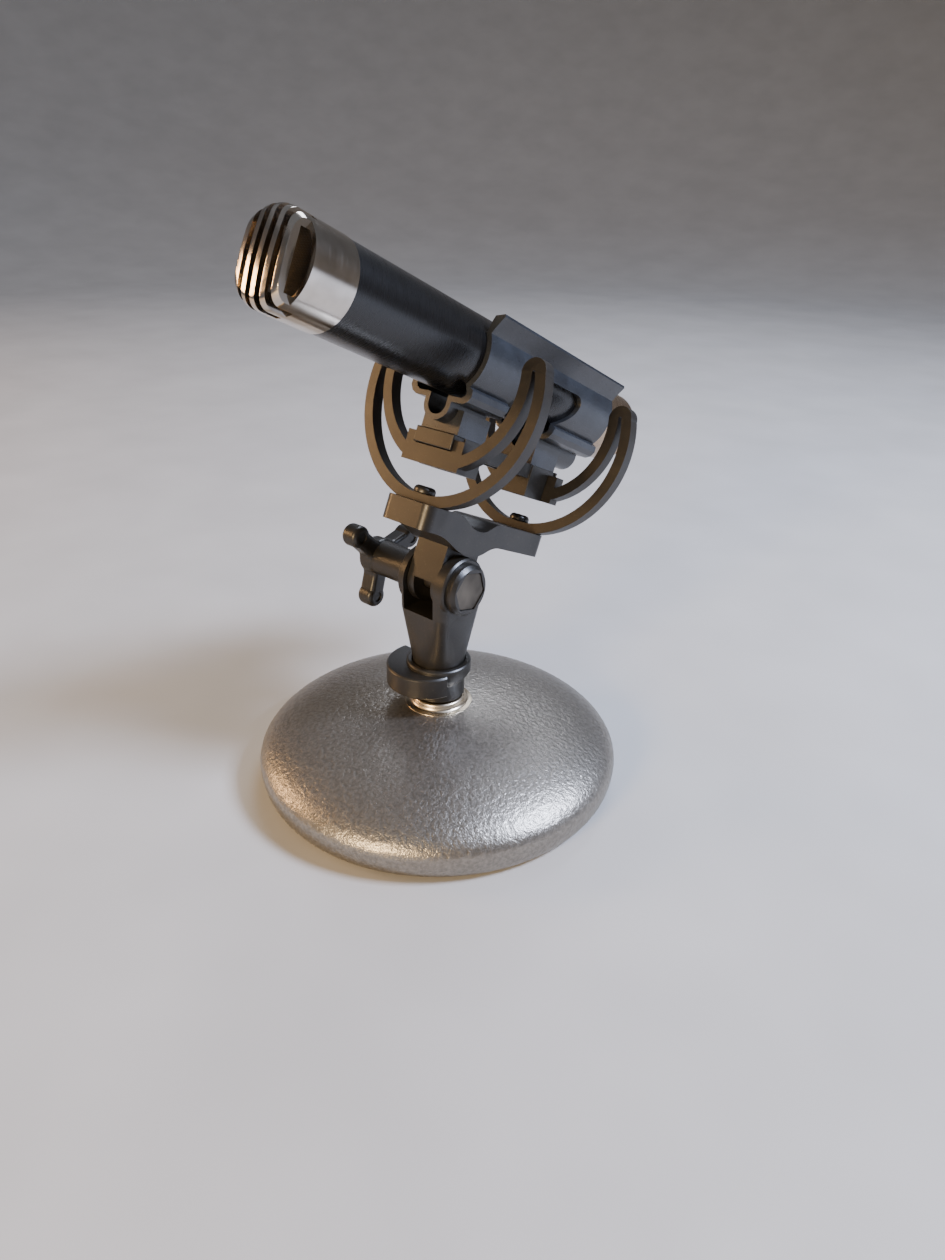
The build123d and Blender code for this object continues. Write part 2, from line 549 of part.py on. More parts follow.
def pin_places():
    """Centres of the three connector contacts, as (x, z)."""
    turns = [radians(degrees) for degrees in XLR_PIN_TURNS]
    return [(XLR_PIN_CIRCLE * sin(turn), AXIS_H - XLR_PIN_CIRCLE * cos(turn)) for turn in turns]


insert_rear = MIC_REAR - XLR_DEPTH
xlr_insert = rod_y(XLR_BORE_R - 0.95, insert_rear - 6.0, insert_rear + 0.6, z=AXIS_H)
pins = []
for x, z in pin_places():
    xlr_insert -= rod_y(XLR_PIN_R, insert_rear - 7, insert_rear + 1, x=x, z=z)
    pin = rod_y(XLR_PIN_R - 0.01, insert_rear - 8.0, insert_rear + 10.5, x=x, z=z)
    pins.append(UPPER * fillet(pin.edges().group_by(Axis.Y)[-1], 0.8))
save("rear_sleeve", rear_sleeve(), upper=True)
save("xlr_insert", xlr_insert, upper=True)
save("xlr_pins", Compound(children=pins))
set_screw = rod_z(SET_SCREW_R, AXIS_H - BODY_R + 0.3, AXIS_H - XLR_BORE_R - 0.1, y=SET_SCREW_Y)
save("sleeve_set_screw", set_screw, upper=True)
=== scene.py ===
import json
import logging
import math
from dataclasses import dataclass
from enum import Enum

import bmesh
import bpy
from mathutils import Matrix, Vector, noise


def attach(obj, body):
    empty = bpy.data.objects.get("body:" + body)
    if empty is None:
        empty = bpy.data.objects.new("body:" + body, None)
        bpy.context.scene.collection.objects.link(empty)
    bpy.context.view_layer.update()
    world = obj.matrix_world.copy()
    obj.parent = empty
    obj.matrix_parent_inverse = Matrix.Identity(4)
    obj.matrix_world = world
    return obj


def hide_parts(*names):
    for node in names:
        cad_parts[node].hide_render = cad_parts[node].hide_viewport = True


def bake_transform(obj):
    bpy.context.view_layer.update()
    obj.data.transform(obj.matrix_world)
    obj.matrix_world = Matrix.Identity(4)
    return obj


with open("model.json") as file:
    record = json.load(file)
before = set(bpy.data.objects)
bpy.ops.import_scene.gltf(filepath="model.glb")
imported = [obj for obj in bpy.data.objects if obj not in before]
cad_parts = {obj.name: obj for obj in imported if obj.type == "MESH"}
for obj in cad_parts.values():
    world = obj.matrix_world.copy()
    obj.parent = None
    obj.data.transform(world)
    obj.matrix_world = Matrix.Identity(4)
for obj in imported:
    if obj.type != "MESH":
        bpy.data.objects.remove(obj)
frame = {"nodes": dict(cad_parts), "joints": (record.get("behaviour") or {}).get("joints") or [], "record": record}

LOG = logging.getLogger("desk_microphone")
MM = 0.001
JOINTS = {joint["name"]: joint for joint in frame["joints"]}
MOUNTS = {mount["name"]: mount for mount in frame["record"]["mounts"]}
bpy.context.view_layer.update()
SHARP_EDGE = 32.0    # an edge that turns by more degrees than this is rounded
FLAT_FACE = 0.6      # facets that turn by fewer degrees than this are one face
WELD = 2e-7          # points of a CAD mesh closer than this, in metres, are one


class Body(Enum):
    """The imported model's moving bodies."""

    BASE = "base"
    LOCK_RING = "lock_ring"
    ADAPTOR = "adaptor"
    KNOB = "knob"
    BAR = "bar"
    CRADLE = "cradle"
    MICROPHONE = "microphone"


class Lay(Enum):
    """What a surface's fine lines run round."""

    STAND = "the stand's upright axis"
    BARREL = "the microphone's axis"


def upper_frame() -> Matrix:
    """Frame of the tilting assembly in millimetres.

    Returns:
        Matrix from that frame to the row frame: origin on the tilt axis, +Y to the
        microphone's rear, +Z away from the bar.
    """
    forward = Vector(JOINTS["mic_slide"]["axis"])
    away = Vector(JOINTS["suspension"]["axis"])
    place = Matrix((Vector((1, 0, 0)), -forward, away)).transposed().to_4x4()
    place.translation = Vector(JOINTS["tilt"]["pos_m"])
    return place @ Matrix.Scale(MM, 4)


STAND = Matrix.Scale(MM, 4)
UPPER = upper_frame()
TILT = -math.asin(JOINTS["mic_slide"]["axis"][2])
BARREL_H = (UPPER.inverted() @ Vector(MOUNTS["windscreen_seat"]["pos_m"])).z
BARREL = UPPER @ Matrix.Translation((0, 0, BARREL_H)) @ Matrix.Rotation(math.radians(-90), 4, "X")


# --------------------------------------------------------------------------- colour and nodes
def linear(hex_colour: str) -> tuple[float, float, float, float]:
    """Turn an sRGB hex colour into Blender's linear values.

    Args:
        hex_colour: colour such as "#8a8a88".

    Returns:
        Red, green, blue and an alpha of one.
    """
    parts = [int(hex_colour[i:i + 2], 16) / 255 for i in (1, 3, 5)]
    red, green, blue = [c / 12.92 if c <= 0.04045 else ((c + 0.055) / 1.055) ** 2.4 for c in parts]
    return red, green, blue, 1.0


def add(tree: bpy.types.NodeTree, kind: str, inputs: dict | None = None, **settings) -> bpy.types.Node:
    """Add one node with its settings and inputs.

    Args:
        tree: node tree that takes the node.
        kind: Blender's name of the node type.
        inputs: name or number of each input, and the output or the value that goes in.
        settings: the node's own properties.

    Returns:
        The new node.
    """
    node = tree.nodes.new(kind)
    for key, value in settings.items():
        setattr(node, key, value)
    for key, value in (inputs or {}).items():
        if isinstance(value, bpy.types.NodeSocket):
            tree.links.new(value, node.inputs[key])
        else:
            node.inputs[key].default_value = value
    return node


def ramp(tree: bpy.types.NodeTree, value: bpy.types.NodeSocket,
         stops: list[tuple[float, str]]) -> bpy.types.NodeSocket:
    """Map a value to colours.

    Args:
        tree: node tree that takes the ramp.
        value: the value that drives it.
        stops: place and hex colour of each stop, in order.

    Returns:
        The colour output.
    """
    node = add(tree, "ShaderNodeValToRGB", {"Fac": value})
    elements = node.color_ramp.elements
    while len(elements) < len(stops):
        elements.new(0.5)
    for element, (place, colour) in zip(elements, stops):
        element.position = place
        element.color = linear(colour)
    return node.outputs["Color"]


@dataclass(frozen=True)
class Finish:
    """A surface finish. Lengths are in millimetres."""

    name: str
    dark: str
    light: str
    metallic: float
    roughness: float
    roughness_swing: float
    grain: float
    relief: float
    specular: float = 0.5

    def material(self) -> bpy.types.Material:
        """Return the material, built on first use."""
        found = bpy.data.materials.get(self.name)
        if found:
            return found
        made = bpy.data.materials.new(self.name)
        made.use_nodes = True
        tree = made.node_tree
        tree.nodes.clear()
        shader = add(tree, "ShaderNodeBsdfPrincipled", {
            "Metallic": self.metallic, "Specular IOR Level": self.specular, "Roughness": self.roughness})
        add(tree, "ShaderNodeOutputMaterial", {"Surface": shader.outputs["BSDF"]})
        self.dress(tree, shader)
        return made

    def blobs(self, tree: bpy.types.NodeTree, size: float, detail: float = 2.0,
              stretch: tuple[float, float, float] = (1, 1, 1)) -> bpy.types.NodeSocket:
        """Noise whose blobs have a real size.

        Args:
            tree: node tree that takes it.
            size: width of one blob.
            detail: number of finer octaves.
            stretch: how much longer a blob is along each axis.

        Returns:
            The noise value, around one half.
        """
        place = add(tree, "ShaderNodeMapping", {
            "Vector": self.place(tree), "Scale": tuple(1 / s for s in stretch)})
        return add(tree, "ShaderNodeTexNoise", {
            "Vector": place.outputs["Vector"], "Scale": 1 / (size * MM), "Detail": detail,
            "Roughness": 0.55}).outputs["Fac"]

    def place(self, tree: bpy.types.NodeTree) -> bpy.types.NodeSocket:
        """Coordinates in metres that every pattern is measured in."""
        return add(tree, "ShaderNodeTexCoord").outputs["Object"]

    def finish_surface(self, tree: bpy.types.NodeTree, shader: bpy.types.Node, colour: bpy.types.NodeSocket,
                       gloss: bpy.types.NodeSocket, height: bpy.types.NodeSocket) -> None:
        """Feed colour, varied roughness and relief to the shader.

        Args:
            tree: node tree of the material.
            shader: its surface shader.
            colour: base colour.
            gloss: noise that moves the roughness about its middle value.
            height: noise that stands proud by the finish's relief.
        """
        tree.links.new(colour, shader.inputs["Base Color"])
        span = add(tree, "ShaderNodeMapRange", {
            "Value": gloss, "From Min": 0.3, "From Max": 0.7,
            "To Min": self.roughness - self.roughness_swing, "To Max": self.roughness + self.roughness_swing})
        tree.links.new(span.outputs["Result"], shader.inputs["Roughness"])
        bump = add(tree, "ShaderNodeBump", {"Height": height, "Distance": self.relief * MM})
        tree.links.new(bump.outputs["Normal"], shader.inputs["Normal"])

    def dress(self, tree: bpy.types.NodeTree, shader: bpy.types.Node) -> None:
        """Cloudy tone with a fine raised grain."""
        cloud = self.blobs(tree, self.grain * 14)
        fine = self.blobs(tree, self.grain)
        self.finish_surface(tree, shader, ramp(tree, cloud, [(0.3, self.dark), (0.7, self.light)]),
                            fine, fine)


@dataclass(frozen=True)
class HammeredEnamel(Finish):
    """Hammered enamel sprayed on cast iron: small hard bumps, a little darker in the valleys between them."""

    def dress(self, tree: bpy.types.NodeTree, shader: bpy.types.Node) -> None:
        """Pebbles that are darker in their valleys, and finer flake on top."""
        pebble = self.blobs(tree, self.grain, 1.5)
        flake = self.blobs(tree, self.grain * 0.35, 1.0)
        both = add(tree, "ShaderNodeMix", {0: 0.3, 2: pebble, 3: flake})
        height = both.outputs[0]
        self.finish_surface(tree, shader, ramp(tree, height, [(0.36, self.dark), (0.62, self.light)]),
                            flake, height)


@dataclass(frozen=True)
class TurnedMetal(Finish):
    """Metal turned on a lathe or buffed on a wheel: hairlines run round the part."""

    lay: Lay = Lay.BARREL
    hairline: float = 40.0

    def place(self, tree: bpy.types.NodeTree) -> bpy.types.NodeSocket:
        """Coordinates whose Z runs along the turned axis."""
        where = add(tree, "ShaderNodeTexCoord").outputs["Object"]
        if self.lay is Lay.STAND:
            return where
        turned = add(tree, "ShaderNodeVectorRotate", {
            "Vector": where, "Angle": math.radians(90) - TILT}, rotation_type="X_AXIS")
        return turned.outputs["Vector"]

    def dress(self, tree: bpy.types.NodeTree, shader: bpy.types.Node) -> None:
        """Clouded tone, with hairlines that are long round the part and short along it."""
        cloud = self.blobs(tree, self.grain * 30)
        lines = self.blobs(tree, self.grain, 2.0, (self.hairline, self.hairline, 1))
        self.finish_surface(tree, shader, ramp(tree, cloud, [(0.35, self.dark), (0.65, self.light)]),
                            lines, lines)


@dataclass(frozen=True)
class SpeckledMoulding(Finish):
    """Moulding from a spark-eroded tool: an even fine grain with pale specks on it."""

    speck: str = "#6f6a62"
    speck_share: float = 0.5

    def dress(self, tree: bpy.types.NodeTree, shader: bpy.types.Node) -> None:
        """Cloudy tone, sparse pale specks and a fine raised grain."""
        cloud = self.blobs(tree, self.grain * 20, 4.0)
        tone = ramp(tree, cloud, [(0.3, self.dark), (0.72, self.light)])
        specks = add(tree, "ShaderNodeMapRange", {
            "Value": self.blobs(tree, self.grain * 1.6, 1.0), "From Min": 0.66, "From Max": 0.74,
            "To Min": 0.0, "To Max": self.speck_share})
        mixed = add(tree, "ShaderNodeMix", {
            0: specks.outputs["Result"], 6: tone, 7: linear(self.speck)}, data_type="RGBA")
        grain = self.blobs(tree, self.grain)
        self.finish_surface(tree, shader, mixed.outputs[2], grain, grain)


@dataclass(frozen=True)
class WovenWire(Finish):
    """Woven wire cloth: two crossing sets of wires, with painted shade in the openings between them."""

    def dress(self, tree: bpy.types.NodeTree, shader: bpy.types.Node) -> None:
        """Crossing bands at the wire pitch give the bumps and the painted shade of the gaps."""
        place = self.place(tree)
        bands = [add(tree, "ShaderNodeTexWave", {"Vector": place, "Scale": math.pi / 10 / (self.grain * MM)},
                     bands_direction=way).outputs["Fac"] for way in ("X", "Z")]
        cloth = add(tree, "ShaderNodeMath", {0: bands[0], 1: bands[1]}, operation="MAXIMUM").outputs[0]
        self.finish_surface(tree, shader, ramp(tree, cloth, [(0.45, self.dark), (0.9, self.light)]),
                            cloth, cloth)


# Sprayed silver-grey hammered enamel: broad soft highlights broken up by hard little bumps.
HAMMERED = HammeredEnamel(
    "hammered_silver_enamel_on_iron", dark="#85817a", light="#9d9890", metallic=0.9, roughness=0.36,
    roughness_swing=0.05, grain=1.0, relief=0.22)
# Machined iron of the boss, bright where the lock ring has rubbed it; its pale golden tone is partly the bare
# metal and partly a painted warm highlight.
BARE_IRON = TurnedMetal(
    "turned_bare_iron", dark="#b5a68e", light="#e2d6bf", metallic=1.0, roughness=0.30,
    roughness_swing=0.08, grain=0.25, relief=0.008, lay=Lay.STAND)
# Bright nickel over turned brass: mirror-like, and a little warmer than chrome; the warm tint is partly nickel's
# own and partly a painted reflection of warm light.
NICKEL = TurnedMetal(
    "polished_nickel_plate", dark="#c2bab0", light="#d8d0c6", metallic=1.0, roughness=0.14,
    roughness_swing=0.04, grain=0.20, relief=0.001)
# Satin black chrome on the barrel: dark, with one long soft streak of light.
BLACK_BARREL = TurnedMetal(
    "satin_black_plated_brass", dark="#060607", light="#0a0a0b", metallic=0.0, roughness=0.28,
    roughness_swing=0.02, grain=0.15, relief=0.0001, specular=0.6)
# Satin nickel of the rear sleeve; its brownish tint is a painted reflection of warm light on top of nickel's own
# slight warmth.
SATIN_NICKEL = TurnedMetal(
    "satin_nickel_plate", dark="#a8947e", light="#c0ab93", metallic=1.0, roughness=0.26,
    roughness_swing=0.05, grain=0.20, relief=0.002)
# Glass-filled nylon from a textured mould: dull, brownish black, with a dusty grain.
NYLON = SpeckledMoulding(
    "moulded_glass_filled_nylon", dark="#12110f", light="#1f1d19", metallic=0.0, roughness=0.38,
    roughness_swing=0.06, grain=0.35, relief=0.012, specular=0.6, speck="#5c564c", speck_share=0.2)
# Tough clip plastic from a finer mould: greyer and a little glossier than the nylon.
CLIP_PLASTIC = SpeckledMoulding(
    "moulded_clip_plastic", dark="#191c21", light="#292d33", metallic=0.0, roughness=0.32,
    roughness_swing=0.05, grain=0.30, relief=0.008, specular=0.7, speck="#6b6f78", speck_share=0.2)
# Thermoplastic elastomer of the lyres: soft and matte, with a cloudy brownish tone.
ELASTOMER = SpeckledMoulding(
    "moulded_lyre_elastomer", dark="#141210", light="#25211c", metallic=0.0, roughness=0.40,
    roughness_swing=0.06, grain=0.30, relief=0.008, specular=0.55, speck="#5c564c", speck_share=0.2)
# Oiled and blackened bolt steel, rubbed grey.
BOLT_STEEL = TurnedMetal(
    "blackened_bolt_steel", dark="#4a4640", light="#6c665d", metallic=0.9, roughness=0.40,
    roughness_swing=0.08, grain=0.30, relief=0.01)
# Zinc plate on small steel parts.
ZINC = TurnedMetal(
    "zinc_plated_steel", dark="#8c8c8c", light="#b4b4b2", metallic=1.0, roughness=0.32,
    roughness_swing=0.06, grain=0.25, relief=0.004, lay=Lay.STAND)
# Turned brass of the inserts and the capsule parts.
BRASS = TurnedMetal(
    "turned_brass", dark="#a37c3a", light="#c9a45c", metallic=1.0, roughness=0.28, roughness_swing=0.06,
    grain=0.25, relief=0.004)
# Gold flash on the connector pins.
GOLD = TurnedMetal(
    "gold_flashed_pins", dark="#c79a4a", light="#e0ba6a", metallic=1.0, roughness=0.20,
    roughness_swing=0.04, grain=0.25, relief=0.002)
# Stainless wire cloth behind the slats; drawn coarser than the real 0.1 mm wire so that it shows; its near-black
# dark colour is painted shade in the openings.
WIRE_CLOTH = WovenWire(
    "woven_wire_cloth", dark="#020202", light="#2c2823", metallic=0.9, roughness=0.45,
    roughness_swing=0.05, grain=0.45, relief=0.06)
# Die-cut rubber and felt pad under the base.
PAD = SpeckledMoulding(
    "die_cut_rubber_felt", dark="#0d0d0d", light="#1c1b1a", metallic=0.0, roughness=0.85,
    roughness_swing=0.06, grain=0.6, relief=0.08, specular=0.2)
# Phenolic connector insert: hard, glossy black moulding.
PHENOLIC = SpeckledMoulding(
    "moulded_phenolic", dark="#0f0f10", light="#1c1c1d", metallic=0.0, roughness=0.25,
    roughness_swing=0.04, grain=0.3, relief=0.004, specular=0.5)
# Glass laminate of the circuit board.
LAMINATE = SpeckledMoulding(
    "glass_laminate_board", dark="#123a26", light="#1d5236", metallic=0.0, roughness=0.35,
    roughness_swing=0.05, grain=0.4, relief=0.01, specular=0.5)
# Turned white insulator behind the capsule.
INSULATOR = SpeckledMoulding(
    "turned_white_insulator", dark="#c9c4b6", light="#dfdbcf", metallic=0.0, roughness=0.35,
    roughness_swing=0.05, grain=0.4, relief=0.004, specular=0.5)
# Plain pale floor.
FLOOR = Finish(
    "pale_studio_floor", dark="#b2b1af", light="#bab9b7", metallic=0.0, roughness=0.8,
    roughness_swing=0.03, grain=4.0, relief=0.02, specular=0.2)

CAD_FINISHES = {
    "base_pad": PAD, "stand_stud": ZINC, "thread_insert": BRASS, "knob_insert": BRASS, "knob_washer": ZINC,
    "clip_screws": ZINC, "capsule_ring": BRASS, "diaphragm": GOLD, "backplate": BRASS,
    "capsule_insulator": INSULATOR, "capsule_contact": BRASS, "joint_ring": BRASS, "circuit_board": LAMINATE,
    "xlr_insert": PHENOLIC, "xlr_pins": GOLD, "sleeve_set_screw": BOLT_STEEL, "head_mesh": WIRE_CLOTH,
}


# --------------------------------------------------------------------------- mesh workshop
def make_object(name: str, bm: bmesh.types.BMesh, place: Matrix) -> bpy.types.Object:
    """Turn a bmesh into an object in the row frame.

    Args:
        name: piece name.
        bm: mesh in the local frame, freed here.
        place: matrix from the local frame to the row frame.

    Returns:
        The linked object, at the origin.
    """
    bmesh.ops.recalc_face_normals(bm, faces=bm.faces)
    bm.transform(place)
    mesh = bpy.data.meshes.new(name)
    bm.to_mesh(mesh)
    bm.free()
    piece = bpy.data.objects.new(name, mesh)
    bpy.context.scene.collection.objects.link(piece)
    return piece


def settle(piece: bpy.types.Object) -> None:
    """Apply a piece's modifiers to its mesh."""
    graph = bpy.context.evaluated_depsgraph_get()
    graph.update()
    mesh = bpy.data.meshes.new_from_object(piece.evaluated_get(graph), depsgraph=graph)
    piece.modifiers.clear()
    piece.data = mesh


def soften_edges(piece: bpy.types.Object, radius: float, steps: int = 3) -> None:
    """Round every sharp edge a little and shade the rest smooth.

    Args:
        piece: closed mesh object.
        radius: width of the rounding in millimetres, or 0 for none.
        steps: facets across it.
    """
    if radius > 0:
        bevel = piece.modifiers.new("edges", "BEVEL")
        bevel.width = radius * MM
        bevel.segments = steps
        bevel.limit_method = "ANGLE"
        bevel.angle_limit = math.radians(SHARP_EDGE)
        settle(piece)
    piece.data.shade_smooth()
    flats = piece.modifiers.new("flats", "WEIGHTED_NORMAL")
    flats.weight = 100
    settle(piece)


def spread(points: list[tuple[float, float]], step: float) -> list[tuple[float, float]]:
    """Points at an even spacing along a line through the given ones.

    Args:
        points: corners of the line.
        step: spacing.

    Returns:
        The spaced points, with both ends kept.
    """
    corners = [Vector(p) for p in points]
    run = [0.0]
    for a, b in zip(corners, corners[1:]):
        run.append(run[-1] + (b - a).length)
    count = max(1, round(run[-1] / step))
    spaced, k = [], 0
    for i in range(count + 1):
        want = run[-1] * i / count
        while k < len(corners) - 2 and run[k + 1] < want:
            k += 1
        share = (want - run[k]) / max(run[k + 1] - run[k], 1e-9)
        spaced.append(tuple(corners[k].lerp(corners[k + 1], min(1.0, share))))
    return spaced


def rounded(corners: list[tuple[float, float, float]], steps: int = 5) -> list[tuple[float, float]]:
    """Outline of straight runs with a round at each corner.

    Args:
        corners: x, y and corner radius of each corner, in order round the outline.
        steps: facets of a quarter turn.

    Returns:
        Points of the closed outline.
    """
    points = []
    for i, (x, y, radius) in enumerate(corners):
        here = Vector((x, y))
        if radius <= 0:
            points.append((x, y))
            continue
        before = (Vector(corners[i - 1][:2]) - here).normalized()
        after = (Vector(corners[(i + 1) % len(corners)][:2]) - here).normalized()
        half = before.angle(after) / 2
        centre = here + (before + after).normalized() * radius / math.sin(half)
        start = here + before * radius / math.tan(half) - centre
        sweep = start.angle_signed(here + after * radius / math.tan(half) - centre)
        facets = max(1, round(abs(sweep) / (math.pi / 2) * steps))
        for k in range(facets + 1):
            turn = -sweep * k / facets
            points.append((centre.x + start.x * math.cos(turn) - start.y * math.sin(turn),
                           centre.y + start.x * math.sin(turn) + start.y * math.cos(turn)))
    return points


def lathe_mesh(profile: list[tuple[float, float]], segments: int) -> bmesh.types.BMesh:
    """Revolve a closed profile about Z.

    Args:
        profile: (radius, height) points of a closed loop.
        segments: facets round the axis.

    Returns:
        The mesh, in the profile's own units.
    """
    bm = bmesh.new()
    turns = [(math.cos(2 * math.pi * k / segments), math.sin(2 * math.pi * k / segments))
             for k in range(segments)]
    rings = [[bm.verts.new((radius * c, radius * s, height)) for c, s in turns] for radius, height in profile]
    for a, b in zip(rings, rings[1:] + rings[:1]):
        for k in range(segments):
            j = (k + 1) % segments
            bm.faces.new((a[k], a[j], b[j], b[k]))
    bmesh.ops.remove_doubles(bm, verts=bm.verts, dist=1e-5)
    return bm


def box_mesh(low: tuple[float, float, float], high: tuple[float, float, float]) -> bmesh.types.BMesh:
    """Box between two corners."""
    bm = bmesh.new()
    bmesh.ops.create_cube(bm, size=1.0)
    for vert in bm.verts:
        vert.co = Vector([(a + b) / 2 + v * (b - a) for a, b, v in zip(low, high, vert.co)])
    return bm


def cut(piece: bpy.types.Object, cutters: list[bpy.types.Object]) -> None:
    """Take the cutters out of a piece and delete them.

    Args:
        piece: closed mesh object.
        cutters: closed mesh objects.
    """
    for cutter in cutters:
        tool = piece.modifiers.new("cut", "BOOLEAN")
        tool.operation = "DIFFERENCE"
        tool.solver = "EXACT"
        tool.object = cutter
        settle(piece)
        bpy.data.objects.remove(cutter)


def moulded_copy(name: str, node: str, radius: float) -> bpy.types.Object:
    """Copy of a CAD node with its flat faces cleaned and its edges rounded.

    Args:
        name: piece name.
        node: CAD node that gives the shape.
        radius: radius of the edges in millimetres.

    Returns:
        The piece, in the row frame.
    """
    bm = bmesh.new()
    bm.from_mesh(frame["nodes"][node].data)
    bmesh.ops.remove_doubles(bm, verts=bm.verts, dist=WELD)
    bmesh.ops.dissolve_limit(bm, angle_limit=math.radians(FLAT_FACE), verts=bm.verts, edges=bm.edges)
    piece = make_object(name, bm, Matrix.Identity(4))
    soften_edges(piece, radius)
    return piece


def dress_piece(piece: bpy.types.Object, finish: Finish, slot: str, *nodes: str) -> bpy.types.Object:
    """Give a piece its finish and hide the CAD nodes that it stands for.

    Args:
        piece: the piece.
        finish: its surface.
        slot: material slot of the record; not used.
        nodes: CAD nodes that it replaces.

    Returns:
        The same piece.
    """
    piece.data.materials.clear()
    piece.data.materials.append(finish.material())
    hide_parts(*nodes)
    return piece


def hang(piece: bpy.types.Object, body: Body) -> bpy.types.Object:
    """Make a piece ride on a body."""
    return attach(piece, body.value)


def cad_piece(name: str, node: str, edge: float, finish: Finish, slot: str,
              body: Body) -> bpy.types.Object:
    """Softened and dressed copy of a CAD node, hung on its body.

    Args:
        name: name of the new piece.
        node: CAD node that it replaces.
        edge: radius of the edges in millimetres.
        finish: what it is made of.
        slot: material slot of the node.
        body: body that carries it.

    Returns:
        The piece.
    """
    return hang(dress_piece(moulded_copy(name, node, edge), finish, slot, node), body)


# --------------------------------------------------------------------------- sub-assemblies
@dataclass
class DeskBase:
    """Cast iron base: a hammered dome with a bare turned boss. Sizes in millimetres."""

    rim_r: float = 52.5
    rim_h: float = 7.5
    foot_r: float = 49.1
    foot_h: float = 0.8
    recess_r: float = 46.15
    recess_h: float = 2.0
    root_r: float = 9.2
    boss_r: float = 7.7
    boss_top: float = 25.6
    bore_r: float = 4.85
    under_boss: float = 1.5
    skirt_steps: int = 12
    skirt_power: float = 0.9
    dome_facets: int = 480
    boss_facets: int = 160
    pitch: float = 0.6
    pebble: float = 1.0
    pebble_height: float = 0.11
    pebble_sink: float = 0.6

    def build(self) -> list[bpy.types.Object]:
        """Make the dome and the boss."""
        return [self.dome(), self.boss()]

    def skin(self) -> list[tuple[float, float]]:
        """Radius and height of the casting's upper skin, from the rim to the boss.

        Returns:
            Points of the skin, rim first.
        """
        seen = set()
        for vert in frame["nodes"]["base_casting"].data.vertices:
            x, y, z = vert.co / MM
            r = math.hypot(x, y)
            if r > self.root_r - 0.05 and z > self.rim_h - 0.05:
                seen.add((round(r, 2), round(z, 2)))
        return sorted(seen, reverse=True)

    def dome(self) -> bpy.types.Object:
        """Lathed dome with every bump of the hammered enamel standing proud."""
        skin = self.skin()
        top = skin[-1][1]
        inner = self.root_r - self.under_boss
        under = [(inner, top - 3), (self.recess_r, self.recess_h),
                 (self.recess_r, self.foot_h), (self.foot_r, self.foot_h)]
        turns = [math.pi / 2 * k / self.skirt_steps for k in range(1, self.skirt_steps)]
        skirt = [(self.foot_r + (self.rim_r - self.foot_r) * math.sin(turn) ** self.skirt_power,
                  self.foot_h + (self.rim_h - self.foot_h) * (1 - math.cos(turn))) for turn in turns]
        outer = spread([under[-1], *skirt, *skin, (inner, top - 0.1)], self.pitch)
        bm = lathe_mesh(outer + under[:-1], self.dome_facets)
        bm.normal_update()
        shifts = {}
        for vert in bm.verts:
            r = math.hypot(vert.co.x, vert.co.y)
            if r > self.root_r and vert.normal.z > -0.6 and vert.co.z > self.foot_h + 0.2:
                place = vert.co / self.pebble
                lump = noise.noise(place * 1.6) + 0.5 * noise.noise(place * 3.1)
                shifts[vert] = vert.normal * (lump - self.pebble_sink) * self.pebble_height
        for vert, shift in shifts.items():
            vert.co += shift
        piece = make_object("hammered_dome", bm, STAND)
        piece.data.shade_smooth()
        return hang(dress_piece(piece, HAMMERED, "hammered_paint", "base_casting"), Body.BASE)

    def boss(self) -> bpy.types.Object:
        """Boss with a flared root and a broken top edge."""
        root = self.skin()[-1][1]
        profile = rounded([
            (self.bore_r, root - 4, 0), (self.root_r + 0.6, root - 0.4, 0),
            (self.root_r + 0.5, root + 0.06, 0.1), (self.boss_r, root + 0.3, 1.3),
            (self.boss_r, self.boss_top, 0.7), (self.bore_r, self.boss_top, 0.3)], 8)
        piece = make_object("turned_boss", lathe_mesh(profile, self.boss_facets), STAND)
        soften_edges(piece, 0)
        return hang(dress_piece(piece, BARE_IRON, "hammered_paint", "base_casting"), Body.BASE)


@dataclass
class Swivel:
    """Lock ring, fork, bolt and knob. Edge radii in millimetres."""

    ring_edge: float = 0.25
    fork_edge: float = 0.5
    bolt_edge: float = 0.2
    knob_edge: float = 0.35

    def build(self) -> list[bpy.types.Object]:
        """Make the four moulded or turned pieces."""
        return [
            cad_piece("winged_lock_ring", "lock_ring", self.ring_edge, NYLON, "black_nylon", Body.LOCK_RING),
            cad_piece("moulded_fork", "swivel_fork", self.fork_edge, NYLON, "black_nylon", Body.ADAPTOR),
            cad_piece("hexagon_bolt", "swivel_bolt", self.bolt_edge, BOLT_STEEL, "bolt_steel", Body.ADAPTOR),
            cad_piece("three_lobe_knob", "clamp_knob", self.knob_edge, NYLON, "black_nylon", Body.KNOB),
        ]


